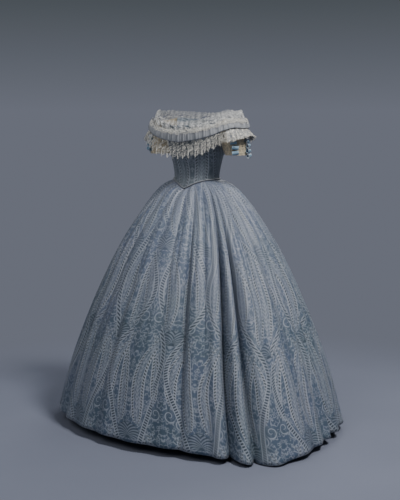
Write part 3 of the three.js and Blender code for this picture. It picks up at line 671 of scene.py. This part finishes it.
def lace_material(name, tint, mesh, net_share, size, net_cover, gaps):
    """Lace: flowers joined by bars, net on net_cover of the ground between, and gaps through it;
    its colour is painted shade off the flowers, with random speckles of painted highlight.
    """
    s = Shader(name)
    cell = s.add("TexVoronoi")
    cell.feature = "DISTANCE_TO_EDGE"
    cell.inputs["Scale"].default_value = 1 / mesh
    cell.inputs["Randomness"].default_value = 0.35
    s.join(s.uv, cell.inputs["Vector"])
    thread = below(Wire(cell.outputs["Distance"]), net_share, 0.08)
    bend = size * 1.6
    u = s.u + (s.noise(34.0, 1.0) - 0.5) * bend
    v = s.v + (s.noise(41.0, 1.0) - 0.5) * bend
    fx, fy, away = in_cells(u, v, size, size)
    turn = step("ARCTAN2", fy, fx)
    petals = cosine(turn * 6.0) * (size * 0.1) + size * 0.3
    eye = below(size * 0.07, away, size * 0.04)
    flower = below(away, petals, size * 0.05) * eye
    bars = below(absolute(sine(turn * 3.0)), 0.22, 0.1)
    ring = below(absolute(away - size * 0.46), size * 0.045, size * 0.03)
    worked = larger(larger(flower, ring), bars * 0.9)
    patch = below(s.noise(1 / size, 1.0), net_cover, 0.08)
    gap = below(s.noise(62.0, 1.0), gaps, 0.04)
    cover = larger(worked, thread * patch) * (1 - gap)
    # painted light and shade: the flowers and random speckles are lifted toward the full tint as
    # painted highlight, the rest is painted shade at 0.42 of the tint
    painted_light_speckle = below(0.5, s.noise(105.0, 2.0), 0.1)
    colour = s.mix(worked * 0.45 + painted_light_speckle * 0.55, tuple(v * 0.42 for v in tint), tint)
    s.link(colour, "Base Color")
    s.link(cover, "Alpha")
    s.set(Roughness=0.85, Sheen_Weight=0.25, Sheen_Roughness=0.5)
    s.bump(worked + thread * 0.4, 0.0008, 0.9)
    return s.material


def ribbon_satin():
    s = Shader("ribbon_satin")
    wide = s.noise(40.0, 2.0, vector=s.place())
    rib = sine(s.u * (math.tau * 900)) * 0.5 + 0.5
    colour = s.mix(wide, linear(104, 138, 162), linear(136, 162, 180))
    middle = below(absolute(s.v - RIBBON_WIDE * MM / 2), 0.0118, 0.0008)
    colour = s.mix(1 - middle, colour, linear(156, 176, 190))
    s.link(colour, "Base Color")
    s.link(0.3 + wide * 0.12, "Roughness")
    s.set(Sheen_Weight=0.2, Sheen_Roughness=0.3, Specular_IOR_Level=0.65)
    s.bump(rib * 0.5 + (1 - middle) * 0.5, 0.0002, 0.6)
    return s.material


def thread_material():
    s = Shader("silk_thread")
    twist = s.noise(900.0, 1.0, vector=s.place())
    s.link(s.mix(twist, linear(112, 122, 132), linear(146, 154, 162)), "Base Color")
    s.set(Roughness=0.5, Specular_IOR_Level=0.5)
    return s.material


SILK = figured_silk("figured_silk", 1.0, linear(60, 82, 92), linear(92, 101, 138))
BODICE_SILK = figured_silk("bodice_figured_silk", 0.75, linear(74, 90, 92), linear(104, 112, 124))
PLAIN = plain_silk()
LACE = lace_material("bertha_lace", linear(250, 246, 234), 0.0024, 0.14, 0.0165, 0.34, 0.4)
FRILL_LACE = lace_material("frill_lace", linear(246, 246, 244), 0.0022, 0.1, 0.015, 0.46, 0.39)
NET = lace_material("sleeve_net", linear(238, 222, 188), 0.002, 0.2, 0.009, 0.8, 0.1)
RIBBON = ribbon_satin()
THREAD = thread_material()

# ---------- camera ----------
CAMERA_PLACE = (2.3855, -3.6734, 0.265)
CAMERA_DOWN, CAMERA_TURN = 7.5, 32.84
lens = bpy.data.cameras.new("view")
lens.lens = 76.5
lens.sensor_width = 36
lens.clip_end = 60
camera = placed("view", lens)
camera.location = CAMERA_PLACE
camera.rotation_euler = (math.radians(90 - CAMERA_DOWN), 0, math.radians(CAMERA_TURN))
bpy.context.scene.camera = camera

# ---------- skirt ----------
COLUMNS_PER_FOLD = 20
SKIRT_ROWS = 90
ROWS_TO_WAIST = 1.5  # rows stand closer toward the waist
down_rows = (1 - np.linspace(0, 1, SKIRT_ROWS + 1)) ** ROWS_TO_WAIST
whole_folds = np.arange(0, len(SKIRT_TROUGHS) * COLUMNS_PER_FOLD + 1) / COLUMNS_PER_FOLD
hem_run = lengths_along(skirt_point(whole_folds[:, None], np.ones((1, 1))), 0)[:, 0]

for name, first, last in SKIRT_WIDTHS:
    folds = np.linspace(first, last, (last - first) * COLUMNS_PER_FOLD + 1)
    points = skirt_point(folds[:, None], down_rows[None, :])
    run = lengths_along(points, 0)
    height = lengths_along(points, 1)
    crest = (np.arange(first, last) - first) * COLUMNS_PER_FOLD + COLUMNS_PER_FOLD // 2
    hem_crest = hem_run[np.arange(first, last) * COLUMNS_PER_FOLD + COLUMNS_PER_FOLD // 2]

    def skirt_uv(i, j, run=run, height=height, crest=crest, hem_crest=hem_crest):
        own = i // COLUMNS_PER_FOLD
        corners = []
        for ci, cj in ((i, j), (i + 1, j), (i + 1, j + 1), (i, j + 1)):
            u = hem_crest[own] + run[ci, cj] - run[crest[own], cj]
            corners.append(np.stack((u, height[ci, cj]), axis=1) * MM)
        return np.stack(corners, axis=1)

    sheet(name + "_silk", name, "figured_silk", "hung", points, SILK, shell=SILK_SHELL,
          fold_uv=skirt_uv)


# ---------- bodice ----------
BODICE_ROWS = 72
COLUMNS_PER_DEGREE = 0.9
CREASE_STRENGTH = 1.7
CREASE_SIDE, CREASE_SIDE_DEEP = 1.8, 0.6  # the hollow beside each strain fold
SEAM_WIDE, SEAM_DEEP = 1.1, 0.9
GIRTH_RISE = 40.0  # where the cloth round the body is measured
FIGURE_RISE = 560  # brings the main figure to the bodice


def bodice_out(angle, rise):
    """What the strain folds add to the bodice."""
    out = np.zeros(np.broadcast(angle, rise).shape)
    for at, height, reach, width, depth, slope in BODICE_CREASES:
        along = wrapped(angle - at)
        away = (rise - height - slope * along) / width
        ridge = np.exp(-away * away) - CREASE_SIDE_DEEP * np.exp(-(away - CREASE_SIDE) ** 2)
        out += CREASE_STRENGTH * depth * ridge * np.exp(-(along / reach) ** 2)
    return out


arc_angles = np.linspace(-180, 180, 721)
arc_line = bodice_point(arc_angles, np.full(arc_angles.shape, GIRTH_RISE))
arc_run = lengths_along(arc_line[:, None], 0)[:, 0]
arc_from = np.interp(0, arc_angles, arc_run) - HALF_REPEAT * FIGURE_SCALE / MM
for name, start, end in BODICE_PANELS:
    angles = np.linspace(start, end, int((end - start) * COLUMNS_PER_DEGREE) + 1)
    away = np.abs(wrapped(angles))
    foot = -POINT_SHARE * waist_dip(away) + SEAM_GAP
    shares = np.linspace(0, 1, BODICE_ROWS + 1)
    rises = foot[:, None] + (bodice_top(away) - foot)[:, None] * shares[None, :]
    grid = np.broadcast_to(angles[:, None], rises.shape)
    seam = sum(np.exp(-((grid - edge) / SEAM_WIDE) ** 2) for edge in (start, end))
    points = leant(bodice_point(grid, rises, bodice_out(grid, rises) - SEAM_DEEP * seam))
    around = np.interp(wrapped(grid), arc_angles, arc_run) - arc_from
    uv = np.stack((around, rises + FIGURE_RISE), axis=2) * MM
    sheet(name + "_silk", name, "figured_silk", "stretched", points, BODICE_SILK,
          shell=SILK_SHELL, uv=uv)


# ---------- stitching beside the bodice seams ----------
STITCH_SPACING = 4.0
STITCH_LONG = 2.2
STITCH_WIDE = 0.45
STITCH_TALL = 0.25
STITCH_FROM_SEAM = 3.0
STITCH_OFF = 0.15


def stitches(name, starts, ends, outward):
    """Small flat threads, one from each start to its end, joined in one mesh."""
    beside = np.cross(unit(ends - starts), outward) * STITCH_WIDE / 2
    ring = (starts - beside, starts + beside, ends + beside, ends - beside)
    middle = (starts + ends) / 2 + outward * STITCH_TALL
    crown = (middle - beside * 0.7, middle + beside * 0.7)
    verts = np.stack((*ring, *crown), axis=1).reshape(-1, 3) * MM
    thread = ((0, 1, 5, 4), (4, 5, 2, 3), (0, 4, 3), (1, 2, 5))
    faces = [tuple(k + n for n in face) for k in range(0, len(verts), 6) for face in thread]
    mesh = bpy.data.meshes.new(name)
    mesh.from_pydata(verts.tolist(), [], faces)
    mesh.materials.append(THREAD)
    piece = placed(name, mesh)
    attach(piece, "root")


for name, start, end in BODICE_PANELS:
    starts, ends, outward = [], [], []
    for seam_angle, way in ((start, 1), (end, -1)):
        away = abs(float(wrapped(np.array(seam_angle))))
        foot = -POINT_SHARE * float(waist_dip(away)) + 3
        head = float(bodice_top(away)) - 4
        at = bodice_point(np.array([float(seam_angle)]), np.array([60.0]))[0]
        turn = seam_angle + way * math.degrees(STITCH_FROM_SEAM / math.hypot(at[0], at[1]))
        lower = np.arange(foot, head, STITCH_SPACING)
        angles = np.full(lower.shape, float(turn))
        for rises, rows in ((lower, starts), (lower + STITCH_LONG, ends)):
            out = bodice_out(angles, rises) + STITCH_OFF
            rows.append(leant(bodice_point(angles, rises, out)))
        side = np.radians(angles)
        outward.append(np.stack((np.sin(side), -np.cos(side), 0 * side), axis=1))
    stitches(name + "_stitches", *(np.concatenate(rows) for rows in (starts, ends, outward)))


# ---------- waist piping ----------
CORD_RADIUS = 1.9
CORD_OUT, CORD_UP = 3.0, 4.2  # its middle, from the bodice and from the waist seam
CORD_TWISTS, CORD_TWIST = 90, 0.12


def cord(name, line, radius, material, sides=12):
    """A closed round cord along a line of points."""
    ahead = unit(np.roll(line, -1, axis=0) - np.roll(line, 1, axis=0))
    outward = line * (1, 1, 0)
    outward = unit(outward - (outward * ahead).sum(axis=1)[:, None] * ahead)
    upward = np.cross(outward, ahead)
    turn = np.linspace(0, 2 * math.pi, sides + 1)
    rings = [line + radius * (outward * math.cos(t) - upward * math.sin(t)) for t in turn]
    points = np.stack(rings, axis=1)
    return grid_piece(name, points, material, closed=True, shell=None)


angles = np.linspace(0, 360, 361)[:-1]
rises = -waist_dip(np.abs(wrapped(angles))) + CORD_UP
twist = CORD_TWIST * np.sin(np.radians(angles) * CORD_TWISTS)
cord_line = leant(bodice_point(angles, rises, CORD_OUT + twist))
piece = cord("waist_piping_cord", cord_line, CORD_RADIUS, PLAIN)
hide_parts("waist_piping")


# ---------- bertha ----------
FRILL = Form(waves=22, tuck=5, tall=43, ripple=4.5, lean=6, scallop=4.5)
RUCHE = Form(pleats=22, out=6.4, pleat=2.4, puff=1.2)
HEADING = Form(waves=15, wave=2, points=52, point=3.2, low=7, tall=14, out=10.9)
FLOUNCE = Form(tuck=5, scallop=4.5, point=5.0, out=0.4, stand=8, ripple=5.5)
LACE_GAPS = [  # in each scallop: across, up, half width, half height
    (0.125, 1 / 6, 0.085, 0.105), (0.625, 0.5, 0.085, 0.115), (0.125, 5 / 6, 0.075, 0.095)]


def even_angles(start, end, count):
    """Angles for columns of nearly the same width along the cloth."""
    samples = np.linspace(start, end, 481)
    line = bertha_point(samples, np.full(samples.shape, 200.0), 0.0)
    run = lengths_along(line[:, None], 0)[:, 0]
    across = np.linspace(0, 1, count + 1)
    across = across + 0.01 * np.sin(6 * math.pi * across) + 0.004 * np.sin(16 * math.pi * across)
    return np.interp(across * run[-1], run, samples)


def wave(across, count):
    return np.cos(2 * math.pi * count * across)


def points_along(across, count):
    """A row of pointed arches, 0 between them and 1 at their tops."""
    return np.abs(np.sin(math.pi * count * across))


def strip(start, end, columns, rows):
    angles = even_angles(start, end, columns)[:, None]
    across = np.linspace(0, 1, columns + 1)[:, None]
    up = np.linspace(0, 1, rows + 1)[None, :]
    return angles, across, up, np.abs(wrapped(angles))


for name, start, end in HALVES:
    # standing frill
    waves = FRILL.waves
    angles, across, up, line = strip(start, end, waves * 14, 12)
    ripple = wave(across, waves) + 0.22 * wave(across, waves * 2) * up
    scallop = FRILL.scallop * points_along(across, waves * 2)
    scallop = scallop * np.clip((up - 0.75) / 0.25, 0, 1)
    rise = heading_rise(line) - FRILL.tuck + FRILL.tall * up + scallop
    out = FRILL.ripple * (0.12 + 0.88 * up) * ripple + FRILL.lean * up * up
    points = bertha_point(angles, rise, out)
    sheet("neck_frill_lace_" + name, "neck_frill_" + name, "lace", "gathered", points,
          FRILL_LACE, shell=None)
    # pleated silk ruche
    pleats = RUCHE.pleats
    angles, across, up, line = strip(start, end, pleats * 16, 14)
    pleat = 0.8 * wave(across, pleats) + 0.4 * wave(across + 0.004, pleats * 2)
    pleat = pleat + 0.3 * wave(across + 0.002, pleats * 3)
    puff = np.sin(math.pi * up) ** 0.6
    rise = heading_rise(line) - ruche_depth(line) * (1 - up)
    out = RUCHE.pleat * pleat * (0.55 + 0.45 * puff) + RUCHE.puff * (puff - 0.5)
    points = bertha_point(angles, rise, RUCHE.out + out)
    sheet("bertha_ruche_silk_" + name, "bertha_ruche_" + name, "plain_silk", "gathered", points,
          PLAIN)
    # narrow lace over its top
    angles, across, up, line = strip(start, end, HEADING.waves * 24, 6)
    edging = HEADING.wave * (1 - 2 * up) * wave(across, HEADING.waves)
    edging = edging + HEADING.point * points_along(across, HEADING.points) * (2 * up - 1)
    rise = heading_rise(line) + edging - HEADING.low + HEADING.tall * up
    points = bertha_point(angles, rise, HEADING.out + 0.5 * wave(across, HEADING.waves * 4))
    sheet("bertha_heading_lace_" + name, "bertha_heading_" + name, "lace", "gathered", points,
          LACE, shell=None)


def lace_cells(across, up, count):
    """Which cells are cloth: the larger gaps of each scallop are cut through."""
    phase = ((across[:-1] + across[1:]) / 2 * count) % 1
    height = (up[:, :-1] + up[:, 1:]) / 2
    keep = np.ones((phase.size, height.size), bool)
    for at, middle, wide, tall in LACE_GAPS:
        keep &= ((phase - at) / wide) ** 2 + ((height - middle) / tall) ** 2 >= 1
    return keep


def hung(angles, line, low, edge, out):
    """Cloth that hangs from under the ruche to its edge."""
    top = heading_rise(line) - ruche_depth(line) + FLOUNCE.tuck
    return bertha_point(angles, top + (edge - top) * low, FLOUNCE.out + out)


for name, start, end, count in FLOUNCES:
    angles, across, up, line = strip(start, end, count * 20, 30)
    low = 1 - up
    edge = flounce_edge(line) + FLOUNCE.scallop * (1 - wave(across, count))
    edge = edge + FLOUNCE.point * points_along(across, count * 3)
    ripple = wave(across, count) + 0.25 * wave(across + 0.01, count * 2)
    out = (FLOUNCE.stand + FLOUNCE.ripple * ripple) * low ** 1.2
    out = out + 1.5 * wave(across, count * 2) * np.exp(-(low / 0.25) ** 2)
    points = hung(angles, line, low, edge, out)
    sheet(name + "_lace", name, "lace", "gathered", points, LACE,
          keep=lace_cells(across, up, count), shell=None)


# ---------- sleeves, their caps and ribbons ----------
CAP = Form(start=55, end=125, waves=10, ripple=5, lip=7, fall=1.6)
CAP_SILK_BEHIND, CAP_SILK_FROM = 2.2, 0.08
SLEEVE_CORNERS = (58.0, 124.0)
SLEEVE_OUTER = (196, 221)  # across, rise
CUFF_MIDDLE, CUFF_WIDE, CUFF_DEEP, CUFF_RISE, CUFF_BULGE = 184, 42, 47, 86, 5
GATHERS, GATHER_DEEP = 26, 1.2
LOOP_DEEP, LOOP_TALL, LOOP_OFF = 6, 7.5, 1.5


def cap_points(sign, flare, behind, rows_from):
    start, end = sorted((sign * CAP.start, sign * CAP.end))
    angles, across, up, line = strip(start, end, CAP.waves * 20, 20)
    up = rows_from + (1 - rows_from) * up
    low = 1 - up
    middle = np.sin(math.pi * np.clip(across, 0, 1)) ** 0.7
    ripple = CAP.ripple * wave(across, CAP.waves)
    ripple = ripple + 1.1 * wave(across + 0.01, CAP.waves * 2)
    out = (flare * middle + CAP.lip + ripple) * low ** CAP.fall
    points = hung(angles, line, low, flounce_edge(line), out)
    if behind:
        normal = np.cross(np.gradient(points, axis=0), np.gradient(points, axis=1))
        points = points - behind * unit(normal)
    return points, across, up


def armhole_point(angle):
    return bodice_point(angle, bodice_top(angle), 0.8)


def sleeve_top(turn):
    """The sleeve's top edge: along the armhole inside, over the arm outside."""
    front, back = SLEEVE_CORNERS
    share = (wrapped(turn - 90) + 360) % 360
    inside = armhole_point(back + (front - back) * np.clip(share / 180, 0, 1))
    sweep = np.radians(share - 180)
    first, second = armhole_point(np.array(front)), armhole_point(np.array(back))
    middle = first + (second - first) * ((1 - np.cos(sweep)) / 2)[..., None]
    reach = np.sin(sweep)
    middle[..., 0] += (SLEEVE_OUTER[0] - middle[..., 0]) * reach
    middle[..., 2] += (SLEEVE_OUTER[1] - middle[..., 2]) * reach
    return np.where((share <= 180)[..., None], inside, middle)


def sleeve_point(turn, up):
    reach = 1 + CUFF_BULGE * np.sin(math.pi * up) / CUFF_WIDE
    turn, up = np.broadcast_arrays(turn, up)
    x = CUFF_MIDDLE + CUFF_WIDE * reach * np.cos(np.radians(turn))
    y = CUFF_DEEP * reach * np.sin(np.radians(turn))
    cuff = np.stack((x, y, np.full(turn.shape, float(CUFF_RISE))), axis=-1)
    return cuff + (sleeve_top(turn) - cuff) * up[..., None]


def mirrored(points, sign):
    return leant(points * (sign, 1, 1))


def ribbon_loop(sign, turn, rise, tilt):
    """A loop of ribbon that stands off the sleeve, round its own middle."""
    turns = np.array([float(turn)])
    up = (rise - CUFF_RISE) / (sleeve_top(turns)[0, 2] - CUFF_RISE)
    root = sleeve_point(turns, np.array([up]))[0]
    outward = np.array((math.cos(math.radians(turn)), math.sin(math.radians(turn)), 0))
    level = np.array((-outward[1], outward[0], 0))
    above = np.array((0, 0, 1))
    lean = math.radians(tilt)
    across_arm = level * math.cos(lean) + above * math.sin(lean)
    upward = above * math.cos(lean) - level * math.sin(lean)
    centre = root + outward * (LOOP_DEEP * 1.06 + LOOP_OFF + max(0, 1 - up) * 3)
    rounds = np.radians(np.linspace(0, 360, 41)[:-1])[:, None, None]
    along = np.linspace(0, 1, 15)[None, :, None]
    swell = 1 + 0.06 * (2 * along - 1) ** 2 + 0.03 * np.sin(rounds * 3 + along * 4)
    ring = outward * LOOP_DEEP * np.cos(rounds) + upward * LOOP_TALL * np.sin(rounds)
    return mirrored(centre + across_arm * sign * (0.5 - along) * RIBBON_WIDE + ring * swell, sign)


for side, sign, flare, loops_up in SIDES:
    points, across, up = cap_points(sign, flare, 0, 0)
    sheet("cap_lace_net_" + side, "cap_lace_" + side, "lace", "gathered", points, LACE,
          keep=lace_cells(across, up, CAP.waves), shell=None)
    points = cap_points(sign, flare, CAP_SILK_BEHIND, CAP_SILK_FROM)[0]
    sheet("cap_plain_silk_" + side, "cap_silk_" + side, "plain_silk", "gathered", points, PLAIN)

    turns = np.linspace(0, 360, 121)[:-1]
    ups = np.linspace(0, 1, 31)
    points = mirrored(sleeve_point(sign * turns[:, None], ups[None, :]), sign)
    gather = GATHER_DEEP * np.sin(np.radians(turns) * GATHERS)[:, None] * (1 - ups[None, :]) ** 3
    outward = unit((points - points.mean(axis=0, keepdims=True)) * (1, 1, 0))
    points = points + outward * gather[..., None]
    sheet("sleeve_net_" + side, "sleeve_" + side, "net", "gathered", points, NET, closed=True,
          shell=None)

    for loop, around, rise, tilt in LOOPS:
        points = ribbon_loop(sign, -around, rise + loops_up, tilt)
        ending = "_loop_%s_%s" % (side, loop)
        sheet("satin" + ending, "ribbon" + ending, "ribbon", "folded", points, RIBBON,
              closed=True, shell=RIBBON_SHELL)


# ---------- floor, light and world; metres ----------
FLOOR_RADIUS = 9.0
FADE_LONG = 1.1  # the floor fades into the backdrop over this length
FADE_FROM = 0.85  # in such lengths from the middle
BACKDROP = linear(106, 110, 122)


def floor_disc(radius, rings=24, spans=96):
    turn = np.linspace(0, 2 * math.pi, spans + 1)[:-1]
    reach = np.linspace(0, 1, rings + 1)[1:] ** 2 * radius
    x = np.concatenate(([0], (reach[:, None] * np.cos(turn)).ravel()))
    y = np.concatenate(([0], (reach[:, None] * np.sin(turn)).ravel()))
    verts = list(zip(x, y, np.full(x.shape, -WAIST_TO_FLOOR * MM)))
    faces = [(0, 1 + k, 1 + (k + 1) % spans) for k in range(spans)]
    for r in range(rings - 1):
        for k in range(spans):
            a, b = 1 + r * spans + k, 1 + r * spans + (k + 1) % spans
            faces.append((a, a + spans, b + spans, b))
    mesh = bpy.data.meshes.new("floor")
    mesh.from_pydata(verts, [], faces)
    return placed("floor", mesh)


floor = floor_disc(FLOOR_RADIUS)
shade = Shader("studio_floor")
paper = shade.noise(3.0, 4.0, vector=shade.place())
shade.link(shade.mix(paper, linear(113, 118, 134), linear(119, 124, 140)), "Base Color")
shade.set(Roughness=0.9)
glow = shade.add("Emission")
glow.inputs[0].default_value = (*BACKDROP, 1)
reach = reach_of(*shade.split(shade.place()))
far = smooth(step("MULTIPLY_ADD", reach, 1 / FADE_LONG, -FADE_FROM, clamp=True))
blend = shade.add("MixShader")
shade.join(far.socket, blend.inputs[0])
shade.join(shade.main.outputs[0], blend.inputs[1])
shade.join(glow.outputs[0], blend.inputs[2])
shade.join(blend.outputs[0], shade.tree.nodes["Material Output"].inputs[0])
floor.data.materials.append(shade.material)

world = bpy.data.worlds.new("studio")
world.use_nodes = True
tree = world.node_tree
ramp = tree.nodes.new("ShaderNodeValToRGB")
ramp.color_ramp.elements[0].position = 0.5
ramp.color_ramp.elements[0].color = (*BACKDROP, 1)
ramp.color_ramp.elements[1].position = 0.56
ramp.color_ramp.elements[1].color = (*linear(70, 76, 80), 1)
ramp.color_ramp.elements.new(0.75).color = (*linear(92, 96, 104), 1)
split = tree.nodes.new("ShaderNodeSeparateXYZ")
way = tree.nodes.new("ShaderNodeTexCoord")
tree.links.new(way.outputs["Generated"], split.inputs[0])
Wire.tree = tree
tree.links.new(step("MULTIPLY_ADD", Wire(split.outputs[2]), 0.5, 0.5).socket, ramp.inputs[0])
tree.links.new(ramp.outputs[0], tree.nodes["Background"].inputs[0])
bpy.context.scene.world = world


def soft_light(name, place, target, size, energy, colour):
    data = bpy.data.lights.new(name, "AREA")
    data.shape = "SQUARE"
    data.size = size
    data.energy = energy
    data.color = colour
    item = placed(name, data)
    item.location = place
    aim = np.array(target, float) - np.array(place, float)
    tilt = math.atan2(math.hypot(aim[0], aim[1]), -aim[2])
    item.rotation_euler = (tilt, 0, math.atan2(aim[1], aim[0]) - math.pi / 2)


soft_light("key", (2.7, -0.9, 3.3), (0.1, -0.1, 0.1), 0.8, 195, (1.0, 0.99, 0.98))
soft_light("front", (0.4, -3.6, 2.2), (0.0, 0, -0.2), 1.8, 38, (1.0, 1.0, 1.0))
soft_light("fill", (-3.4, -2.0, 1.6), (0, 0, -0.4), 2.6, 14, (0.96, 0.98, 1.0))
soft_light("back", (-0.6, 3.6, 2.8), (0, 0, -0.2), 2.6, 70, (0.97, 0.98, 1.0))
